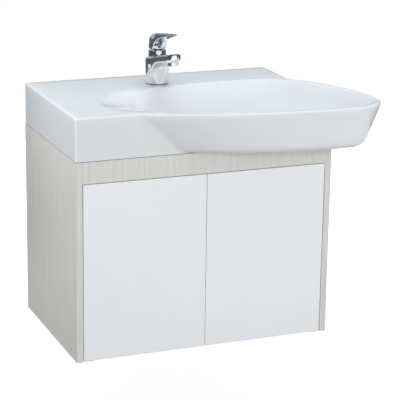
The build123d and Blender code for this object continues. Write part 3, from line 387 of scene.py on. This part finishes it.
# Cabinet boards. Moisture-proof board faced with a pale cream laminate, printed with a fine
# upright grain. The rails have the same grain as the side panels.
laminate, nodes, links, shader = node_tree("cream_laminate", {"IOR": 1.45})
fine = noise_of_object(nodes, links, 1.0, 2.0, 0.6, (420, 420, 9))
broad = noise_of_object(nodes, links, 1.0, 3.0, 0.6, (110, 110, 2.5))
streaks = nodes.new("ShaderNodeMath")
streaks.operation = "MULTIPLY_ADD"
streaks.inputs[1].default_value = 0.5
links.new(fine, streaks.inputs[0])
half = nodes.new("ShaderNodeMath")
half.operation = "MULTIPLY"
half.inputs[1].default_value = 0.5
links.new(broad, half.inputs[0])
links.new(half.outputs[0], streaks.inputs[2])
links.new(two_tones(nodes, links, streaks.outputs[0], 0.36, 0.66,
                    (0.655, 0.648, 0.600), (0.755, 0.750, 0.705)), shader.inputs["Base Color"])
links.new(level_range(nodes, links, fine, 0.38, 0.5), shader.inputs["Roughness"])
bump_of(nodes, links, shader, fine, 0.12, 0.0003)
dress(laminate, "left_side_panel", "right_side_panel", "bottom_panel", "front_top_rail",
      "rear_top_rail", "rear_bottom_rail")

# Doors. Board faced and edged with a high-gloss white film, without handles. Each turns on
# pins in its upper and lower edges, and is set so that only fine gaps show round it.
door_film, nodes, links, shader = node_tree(
    "white_gloss_film", {"IOR": 1.5, "Coat Weight": 0.3, "Coat Roughness": 0.05})
links.new(two_tones(nodes, links, noise_of_object(nodes, links, 5.0), 0.35, 0.65,
                    (0.845, 0.868, 0.890), (0.865, 0.885, 0.905)), shader.inputs["Base Color"])
links.new(level_range(nodes, links, noise_of_object(nodes, links, 40.0), 0.10, 0.16),
          shader.inputs["Roughness"])
bump_of(nodes, links, shader, noise_of_object(nodes, links, 90.0, 1.0), 0.04, 0.0005)


def close_fitting_leaf(name):
    """Packed door leaf copied with its doubles merged. Its meeting, outer and upper edges
    stand a little further out, each with the rounding and the bevel beside it."""
    to_middle, to_side, to_rail, band = 1.1, 0.9, 1.1, 2.5
    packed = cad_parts[name].data
    places = np.empty(3 * len(packed.vertices))
    packed.vertices.foreach_get("co", places)
    corners = np.empty(len(packed.loops), int)
    packed.loops.foreach_get("vertex_index", corners)
    places, merged = np.unique(places.reshape(-1, 3).round(7), axis=0, return_inverse=True)
    x, y, z = places.T * 1000
    beside = np.abs(x)
    wider = (beside - to_middle * (beside < beside.min() + band)
             + to_side * (beside > beside.max() - band))
    taller = z + to_rail * (z > z.max() - band)
    places = np.stack([np.sign(x) * wider, y, taller], -1) * 0.001
    mesh = bpy.data.meshes.new(name + "_leaf")
    mesh.from_pydata(places.tolist(), [], merged.ravel()[corners].reshape(-1, 3).tolist())
    mesh.materials.append(door_film)
    piece = bpy.data.objects.new(name + "_leaf", mesh)
    bpy.context.scene.collection.objects.link(piece)
    return piece


for door_name in ("left_door", "right_door"):
    leaf = close_fitting_leaf(door_name)
    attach(leaf, door_name)
    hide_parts(door_name)

# Dowels. Fluted beech, glued into the boards.
beech, nodes, links, shader = node_tree("beech", {"Roughness": 0.6})
grain = noise_of_object(nodes, links, 1.0, 3.0, 0.6, (25, 900, 900))
links.new(two_tones(nodes, links, grain, 0.3, 0.7, (0.42, 0.27, 0.14), (0.56, 0.40, 0.23)),
          shader.inputs["Base Color"])
bump_of(nodes, links, shader, grain, 0.3, 0.0003)
dress(beech, "wood_dowels")

# Cam locks. Die-cast zinc, matt and slightly mottled from the die.
zinc, nodes, links, shader = node_tree("cast_zinc", {"Metallic": 1.0})
mottle = noise_of_object(nodes, links, 600.0, 3.0)
links.new(two_tones(nodes, links, mottle, 0.3, 0.7, (0.42, 0.43, 0.45), (0.55, 0.56, 0.58)),
          shader.inputs["Base Color"])
links.new(level_range(nodes, links, mottle, 0.35, 0.55), shader.inputs["Roughness"])
dress(zinc, "cam_locks")

# Steel fittings. Bolts, pins, pivot plates, strikes and the tap's stud, zinc-plated and left
# slightly brushed.
steel, nodes, links, shader = node_tree("plated_steel", {"Metallic": 1.0})
brushed = noise_of_object(nodes, links, 1.0, 3.0, 0.6, (300, 2200, 2200))
links.new(two_tones(nodes, links, brushed, 0.3, 0.7, (0.50, 0.51, 0.52), (0.62, 0.63, 0.64)),
          shader.inputs["Base Color"])
links.new(level_range(nodes, links, brushed, 0.24, 0.42), shader.inputs["Roughness"])
dress(steel, "cam_bolts", "lower_pivot_plates", "pivot_plate_screws", "left_upper_pin",
      "right_upper_pin", "left_strike", "right_strike", "carrier_pin", "lever_grub_screw",
      "tap_stud", "steel_horseshoe")

# Brass pieces. The cartridge's stem and nut and the nut on the tap's stud, as turned.
brass, nodes, links, shader = node_tree("turned_brass", {"Metallic": 1.0})
rings = noise_of_object(nodes, links, 1.0, 2.0, 0.5, (400, 400, 3000))
links.new(two_tones(nodes, links, rings, 0.3, 0.7, (0.52, 0.36, 0.13), (0.66, 0.48, 0.20)),
          shader.inputs["Base Color"])
links.new(level_range(nodes, links, rings, 0.2, 0.34), shader.inputs["Roughness"])
dress(brass, "cartridge_stem", "cartridge_nut", "tap_stud_nut")

# Nylon pieces. Bushes, catches, cartridge and aerator insert, moulded with a fine skin.
nylon, nodes, links, shader = node_tree("moulded_nylon", {"IOR": 1.5})
skin = noise_of_object(nodes, links, 900.0, 2.0)
links.new(two_tones(nodes, links, skin, 0.3, 0.7, (0.66, 0.66, 0.64), (0.72, 0.72, 0.70)),
          shader.inputs["Base Color"])
links.new(level_range(nodes, links, skin, 0.4, 0.55), shader.inputs["Roughness"])
bump_of(nodes, links, shader, skin, 0.1, 0.0002)
dress(nylon, "upper_pivot_bushes", "left_lower_bush", "right_lower_bush", "magnet_catches",
      "cartridge_housing", "cartridge_carrier", "aerator_insert")

# Rubber pieces. Door buffers, the waste's gaskets and the tap's gasket and horseshoe.
rubber, nodes, links, shader = node_tree("black_rubber", {"IOR": 1.5})
pores = noise_of_object(nodes, links, 1200.0, 2.0)
links.new(two_tones(nodes, links, pores, 0.3, 0.7, (0.012, 0.012, 0.013), (0.03, 0.03, 0.031)),
          shader.inputs["Base Color"])
links.new(level_range(nodes, links, pores, 0.55, 0.8), shader.inputs["Roughness"])
bump_of(nodes, links, shader, pores, 0.2, 0.0002)
dress(rubber, "door_buffers", "tap_gasket", "rubber_horseshoe", "waste_top_gasket",
      "waste_cone_gasket")

# Sealant. A flattened grey bead between cabinet and basin, seen only as a fine joint.
sealant, nodes, links, shader = node_tree("grey_sealant", {"IOR": 1.4})
lumps = noise_of_object(nodes, links, 220.0, 2.0)
links.new(two_tones(nodes, links, lumps, 0.3, 0.7, (0.10, 0.10, 0.105), (0.16, 0.16, 0.165)),
          shader.inputs["Base Color"])
links.new(level_range(nodes, links, lumps, 0.4, 0.55), shader.inputs["Roughness"])
dress(sealant, "basin_seal")

# Waste and bottle trap. Chromed brass, turned and polished.
chrome, nodes, links, shader = node_tree("polished_chrome", {"Metallic": 1.0})
haze = noise_of_object(nodes, links, 60.0, 2.0)
links.new(two_tones(nodes, links, haze, 0.3, 0.7, (0.86, 0.885, 0.905), (0.89, 0.91, 0.925)),
          shader.inputs["Base Color"])
links.new(level_range(nodes, links, haze, 0.035, 0.075), shader.inputs["Roughness"])
dress(chrome, "waste_body", "waste_plug", "plug_stem", "waste_nut", "trap_inlet_pipe",
      "trap_inlet_nut", "trap_body", "trap_cup", "trap_outlet_pipe", "trap_outlet_nut",
      "wall_plate")

# Tap body. One hollow brass casting, polished and chromed: a round column on the deck, a
# short spout that leaves it below its sloping top, and a neck that holds the cartridge. A
# stud and a nut under the deck hold it.
tap_x, tap_y, deck = -12.0, -97.0, basin_top


def tap_turns():
    """Angles about the tap's axis, from straight forward: even, and closer together towards
    the spout and the blade."""
    close = math.radians(27) * np.linspace(-1, 1, 127)
    turns = np.unique(np.mod(np.concatenate(
        [np.linspace(0, 2 * np.pi, 150, endpoint=False), close]), 2 * np.pi))
    return turns[np.concatenate([[True], np.diff(turns) > 3e-3])][:, None]


def tap_place(turn, radius, height):
    """Points at an angle from straight forward, a radius from the tap's axis and a height
    above the deck."""
    return np.stack(np.broadcast_arrays(tap_x + radius * np.sin(turn),
                                        tap_y - radius * np.cos(turn), deck + height), -1)


def capsule_distance(forward, across, back_r, front_r, length):
    """Signed distance in the plan to the outline round a disc on the axis and a smaller disc
    in front of it."""
    lean = (back_r - front_r) / length
    rest = math.sqrt(1 - lean**2)
    across = np.abs(across)
    along = rest * forward - lean * across
    return np.where(along < 0, np.hypot(forward, across) - back_r, np.where(
        along > rest * length, np.hypot(forward - length, across) - front_r,
        rest * across + lean * forward - back_r))


def ring_radius(turn, distance):
    """Radius at which each ray from the tap's axis leaves a shape given by a distance that
    reads how far forward and how far across a point is."""
    return cross_out(lambda a, r: distance(r * np.cos(a), r * np.sin(a)), turn, 4.0, 130.0)


def spout_top(forward):
    """Height of the tap's top face, which rises forward at 13 degrees."""
    return 56 + (forward + 26) * math.tan(math.radians(13))


def spout_under(forward):
    """Height of the spout's underside: nearly level, and curving down into the column."""
    return 69 - 0.19 * (118 - forward) - 17 * np.exp((22 - forward) / 9)


def tap_distance(forward, across, height):
    """Rough distance to the tap's side: a column that widens a little on its way up, joined
    by a soft crease to a spout that tapers to its nose and stops at its underside."""
    column = np.hypot(forward, across) - np.clip(24.4 + 0.04 * height, 24.4, 26.3)
    spout = -blend_lower(-capsule_distance(forward, across, 23.0, 17.0, 101.0),
                         height - spout_under(forward), 6.0)
    return blend_lower(column, spout, 7.0)


def tap_body_points():
    """Grid of the tap's body. One direction is the angle about its axis. The other runs up
    the cartridge's bore, down the neck, over the top face and its rounded edge, down the
    sides in layers that rise with the top face, and in across the foot."""
    turn = tap_turns()
    edge = 5.5
    foot = 1.0
    under_places = np.linspace(22, 118, 34)
    under_shares = (spout_under(under_places) - foot) / (spout_top(under_places) - edge - foot)
    share = np.concatenate([[1, 0.96, 0.92, 0.88, 0.85], under_shares[::-1],
                            np.linspace(0.5, 0.05, 8)])[None, :]
    side_r = ring_radius(turn, lambda f, s: tap_distance(
        f, s, foot + share * (spout_top(f) - edge - foot)))
    side_z = foot + share * (spout_top(side_r * np.cos(turn)) - edge - foot)
    bend = np.radians([90, 75, 60, 45, 30, 15])[None, :]
    edge_r = ring_radius(turn, lambda f, s: tap_distance(f, s, spout_top(f) - edge)
                         + edge * (1 - np.cos(bend)))
    edge_z = spout_top(edge_r * np.cos(turn)) - edge * (1 - np.sin(bend))

    def crowned(radius):
        """Top face with a low crown that fades to its edge."""
        return spout_top(radius * np.cos(turn)) + 1.8 * (1 - (radius / edge_r[:, :1])**2)**2

    start_r = np.minimum(edge_r[:, :1] - 0.2, 23.5)
    face_r = start_r + (edge_r[:, :1] - start_r) * np.linspace(0, 1, 9)[None, :-1]
    neck_r = 20.0
    fillet = start_r - neck_r
    climb = np.radians([90, 65, 40, 20])[None, :]
    fillet_r = start_r - fillet * np.sin(climb)
    fillet_z = crowned(start_r) + fillet * (1 - np.cos(climb))
    inner_r = np.array([[2, 17.6, 17.6, 19.2, 19.8, neck_r]]) + 0 * turn
    inner_z = np.array([[32, 32, 74, 74, 73.7, 73.2]]) + 0 * turn
    foot_r = np.hstack([side_r[:, -1:], side_r[:, -1:] - 0.8, 2 + 0 * turn])
    foot_z = np.array([[foot + 0.8, foot, foot]]) + 0 * turn
    radius = np.hstack([inner_r, fillet_r, face_r, edge_r, side_r, foot_r])
    height = np.hstack([inner_z, fillet_z, crowned(face_r), edge_z, side_z, foot_z])
    return tap_place(turn, radius, height)


tap_body = grid_mesh("tap_body_casting", tap_body_points(), capped=True, sharp=35)
tap_body.data.materials.append(chrome)
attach(tap_body, "cabinet")
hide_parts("tap_body")
dress(chrome, "neck_ring", "aerator_collar")

# Lever. A chromed zinc casting: a hood over the neck whose top is domed, and which runs out
# forward into a thin rising blade. It is hollow underneath, and a grub screw behind the
# temperature mark clamps it on the cartridge's stem.


def lever_top(forward):
    """Height of the lever's ridge, which rises forward in a straight line."""
    return 115.1 + 0.15 * forward


def blade_under(forward):
    """Height of the blade's underside: nearly straight, and curving down into the hood."""
    return 130 - 0.275 * (112 - forward) - 7.5 * np.exp((21.5 - forward) / 9)


def lever_distance(forward, across, height):
    """Rough distance to the lever's side: a hood that draws in towards its dome at the back
    and sides and leans out at the front, joined by a soft crease to the blade."""
    away = np.hypot(forward, across)
    climb = np.clip((height - 83) / 15, 0, 1)
    side = 19.8 - 2.4 * climb**2 * (3 - 2 * climb)
    front = 20.4 + 0.9 * np.clip((height - 83) / 11, 0, 1.3)
    ahead = np.clip(forward / np.maximum(away, 0.1), 0, 1)**1.5
    hood = away - (side + (front - side) * ahead)
    blade = -blend_lower(-capsule_distance(forward, across, 16.5, 9.0, 103.0),
                         height - blade_under(forward), 2.5)
    return blend_lower(hood, blade, 6.0)


def lever_points():
    """Grid of the lever. One direction is the angle about the tap's axis. The other runs from
    the top's middle over the dome or the blade's edge, down the sides in layers that rise
    with the ridge, in across the rim, and up the hollow to its ceiling."""
    turn = tap_turns()
    rim = 83.0
    plan = ring_radius(turn, lambda f, s: lever_distance(f, s, lever_top(f) - 2))
    thin = np.clip((plan - 20) / 22, 0, 1)
    thin = thin**2 * (3 - 2 * thin)
    dome_drop = 15.5 + (1.8 - 15.5) * thin
    dome_in = 12.5 + (1.6 - 12.5) * thin
    under_places = np.linspace(21, 111, 34)
    under_shares = (blade_under(under_places) - rim) / (lever_top(under_places) - 1.8 - rim)
    share = np.concatenate([[1], under_shares[::-1], np.linspace(0.38, 0.04, 9)])[None, :]
    side_r = ring_radius(turn, lambda f, s: lever_distance(
        f, s, rim + share * (lever_top(f) - dome_drop - rim)))
    side_z = rim + share * (lever_top(side_r * np.cos(turn)) - dome_drop - rim)
    bend = np.radians(np.linspace(90, 8, 11))[None, :]
    edge_r = ring_radius(turn, lambda f, s: lever_distance(f, s, lever_top(f) - dome_drop)
                         + dome_in * (1 - np.cos(bend)))
    edge_z = lever_top(edge_r * np.cos(turn)) - dome_drop * (1 - np.sin(bend))
    top_r = edge_r[:, :1] * np.linspace(0, 1, 6)[None, 1:-1]
    top_r = np.hstack([1.0 + 0 * turn, top_r])
    top_z = lever_top(top_r * np.cos(turn))
    last = side_r[:, -1:]
    rim_r = np.hstack([last, last - 0.6, 16.2 + 0 * turn, 16.2 + 0 * turn, 15 + 0 * turn,
                       1 + 0 * turn])
    rim_z = np.array([[rim + 0.6, rim, rim, 94, 95.2, 95.2]]) + 0 * turn
    return tap_place(turn, np.hstack([top_r, edge_r, side_r, rim_r]),
                     np.hstack([top_z, edge_z, side_z, rim_z]))


tap_lever = grid_mesh("lever_casting", lever_points(), capped=True, sharp=35)
tap_lever.data.materials.append(chrome)
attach(tap_lever, "tap_lever")
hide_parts("tap_lever")

# Temperature mark. A small button of coloured plastic in the lever's hood, red on its left
# half and blue on its right half.
mark, nodes, links, shader = node_tree("red_and_blue_plastic", {"Roughness": 0.2})
place = nodes.new("ShaderNodeTexCoord")
apart = nodes.new("ShaderNodeSeparateXYZ")
links.new(place.outputs["Object"], apart.inputs[0])
right_half = nodes.new("ShaderNodeMath")
right_half.operation = "GREATER_THAN"
right_half.inputs[1].default_value = tap_x * 0.001
links.new(apart.outputs["X"], right_half.inputs[0])
links.new(two_tones(nodes, links, right_half.outputs[0], 0.4, 0.6,
                    (0.62, 0.03, 0.02), (0.02, 0.08, 0.38)), shader.inputs["Base Color"])
dress(mark, "temperature_mark")

# Slate boards. A photographer stands dark boards round and above chrome, out of the picture,
# to draw its edges. The upper one at the rear is paler, because the deck mirrors it. Only
# reflections show them, and they throw no shade on the unit.
left_x, right_x, front_y, rear_y = -1.7, 2.0, -2.6, 1.3
foot_z, left_foot_z, rear_split_z, top_z = -0.7, -0.25, 0.42, 2.2


def dark_board(name, shade, low, high):
    """Flat staged board in a shade of slate between two opposite corners, level or upright."""
    slate, nodes, links, shader = node_tree(name + "_slate", {})
    glow = nodes.new("ShaderNodeEmission")
    glow.inputs["Color"].default_value = (0.80 * shade, 0.97 * shade, 1.06 * shade, 1)
    links.new(glow.outputs[0], nodes["Material Output"].inputs["Surface"])
    across = (high[0], low[1], low[2]) if low[2] == high[2] else (high[0], high[1], low[2])
    back = (low[0], high[1], high[2]) if low[2] == high[2] else (low[0], low[1], high[2])
    mesh = bpy.data.meshes.new(name)
    mesh.from_pydata([low, across, high, back], [], [(0, 1, 2, 3)])
    mesh.materials.append(slate)
    board = bpy.data.objects.new(name, mesh)
    board.visible_camera = board.visible_diffuse = board.visible_shadow = False
    bpy.context.scene.collection.objects.link(board)


dark_board("left_board", 0.09, (left_x, front_y, left_foot_z), (left_x, rear_y, top_z))
dark_board("right_board", 0.11, (right_x, front_y, foot_z), (right_x, rear_y, top_z))
dark_board("rear_board", 0.13, (left_x, rear_y, foot_z), (right_x, rear_y, rear_split_z))
dark_board("upper_rear_board", 0.5, (left_x, rear_y, rear_split_z), (right_x, rear_y, top_z))
dark_board("upper_board", 0.13, (left_x, front_y, top_z), (right_x, rear_y, top_z))

# Light. Large soft lamps and an even surround, as in a small product studio. Rays from the
# camera and off gloss see the surround as white paper.
world = bpy.data.worlds.new("surround")
bpy.context.scene.world = world
world.use_nodes = True
nodes, links = world.node_tree.nodes, world.node_tree.links
nodes.clear()
out = nodes.new("ShaderNodeOutputWorld")
ambient = nodes.new("ShaderNodeBackground")
ambient.inputs["Color"].default_value = (0.96, 0.98, 1.0, 1)
ambient.inputs["Strength"].default_value = 0.30
paper = nodes.new("ShaderNodeBackground")
paper.inputs["Color"].default_value = (1, 1, 1, 1)


def seen_directly(nodes, links):
    """One for rays from the camera, off gloss or through glass, and nought for the rest."""
    path = nodes.new("ShaderNodeLightPath")
    total = nodes.new("ShaderNodeMath")
    total.operation = "ADD"
    links.new(path.outputs["Is Camera Ray"], total.inputs[0])
    links.new(path.outputs["Is Glossy Ray"], total.inputs[1])
    last = nodes.new("ShaderNodeMath")
    last.operation = "ADD"
    last.use_clamp = True
    links.new(total.outputs[0], last.inputs[0])
    links.new(path.outputs["Is Transmission Ray"], last.inputs[1])
    return last.outputs[0]


mix = nodes.new("ShaderNodeMixShader")
links.new(seen_directly(nodes, links), mix.inputs[0])
links.new(ambient.outputs[0], mix.inputs[1])
links.new(paper.outputs[0], mix.inputs[2])
links.new(mix.outputs[0], out.inputs["Surface"])


def soft_lamp(name, place, target, size, power):
    """Slightly cool square lamp aimed at a point. It doesn't show in reflections."""
    data = bpy.data.lights.new(name, "AREA")
    data.shape = "SQUARE"
    data.size = size
    data.energy = power
    data.color = (0.97, 0.985, 1.0)
    lamp = bpy.data.objects.new(name, data)
    lamp.location = place
    lamp.visible_glossy = False
    lamp.rotation_mode = "QUATERNION"
    lamp.rotation_quaternion = (Vector(place) - Vector(target)).to_track_quat("Z", "Y")
    bpy.context.scene.collection.objects.link(lamp)


middle = (0, -0.2, -0.1)
soft_lamp("upper_lamp", (0.1, -0.6, 1.9), middle, 1.8, 16.3)
soft_lamp("front_lamp", (0.0, -3.0, 0.6), middle, 1.5, 37.6)
soft_lamp("right_lamp", (2.4, -0.9, 0.7), middle, 1.2, 5.4)
soft_lamp("upper_rear_lamp", (0.2, 0.8, 1.7), middle, 1.6, 14.2)
soft_lamp("side_top_lamp", (-0.85, -0.3, 0.3), (-0.3, -0.25, 0.05), 0.3, 2.8)
soft_lamp("near_right_lamp", (0.8, -1.2, 0.5), (0.25, -0.38, -0.05), 0.5, 1.3)

# Floor. A plain pale floor, as far below the unit as in a bathroom. The camera and
# reflections see a white glow over it, weaker near the unit so that the unit's shade shows.
floor_level, floor_r, floor_middle_y, floor_sides = -0.71, 3.0, -0.2, 96
floor_turn = np.linspace(0, 2 * np.pi, floor_sides, endpoint=False)
floor_mesh = bpy.data.meshes.new("floor")
floor_mesh.from_pydata(
    np.stack([floor_r * np.cos(floor_turn), floor_r * np.sin(floor_turn) + floor_middle_y,
              np.full(floor_sides, floor_level)], -1).tolist(), [], [list(range(floor_sides))])
floor = bpy.data.objects.new("floor", floor_mesh)
bpy.context.scene.collection.objects.link(floor)
pale, nodes, links, shader = node_tree("pale_floor", {"Base Color": (0.35, 0.35, 0.35, 1)})
white = nodes.new("ShaderNodeEmission")
white.inputs["Strength"].default_value = 1.5
from_middle = nodes.new("ShaderNodeVectorMath")
from_middle.operation = "LENGTH"
links.new(nodes.new("ShaderNodeTexCoord").outputs["Object"], from_middle.inputs[0])
fade = nodes.new("ShaderNodeMapRange")
fade.inputs["From Min"].default_value, fade.inputs["From Max"].default_value = 0.9, 1.6
fade.inputs["To Min"].default_value, fade.inputs["To Max"].default_value = 0.6, 1.0
links.new(from_middle.outputs["Value"], fade.inputs["Value"])
part = nodes.new("ShaderNodeMath")
part.operation = "MULTIPLY"
links.new(seen_directly(nodes, links), part.inputs[0])
links.new(fade.outputs["Result"], part.inputs[1])
mix = nodes.new("ShaderNodeMixShader")
links.new(part.outputs[0], mix.inputs[0])
links.new(shader.outputs[0], mix.inputs[1])
links.new(white.outputs[0], mix.inputs[2])
links.new(mix.outputs[0], nodes["Material Output"].inputs["Surface"])
floor.data.materials.append(pale)

# Camera. It stands in front and to the left, a little above the deck, with a long lens. Its
# angles are in degrees and its focal length is in pixels, as fitted to the cabinet's edges.
azimuth, elevation, roll = (math.radians(a) for a in (-22.104, 16.108, 0.866))
focal_pixels, picture_pixels, sensor_mm = 1629.1, 400, 36.0
aim, camera_distance = Vector((0.0611, -0.1915, -0.1212)), 3.7713
camera_data = bpy.data.cameras.new("camera")
camera_data.sensor_width = sensor_mm
camera_data.lens = sensor_mm * focal_pixels / picture_pixels
camera_data.clip_start, camera_data.clip_end = 0.1, 50
camera = bpy.data.objects.new("camera", camera_data)
bpy.context.scene.collection.objects.link(camera)
camera_back = Vector((math.sin(azimuth) * math.cos(elevation),
                      -math.cos(azimuth) * math.cos(elevation), math.sin(elevation)))
level_right = (-camera_back).cross(Vector((0, 0, 1))).normalized()
level_up = level_right.cross(-camera_back)
camera_right = level_right * math.cos(roll) + level_up * math.sin(roll)
camera_up = level_up * math.cos(roll) - level_right * math.sin(roll)
camera.matrix_world = Matrix.Translation(aim + camera_back * camera_distance) @ Matrix(
    (camera_right, camera_up, camera_back)).transposed().to_4x4()
bpy.context.scene.camera = camera

bpy.context.scene.view_settings.view_transform = "Standard"

bpy.context.view_layer.update()
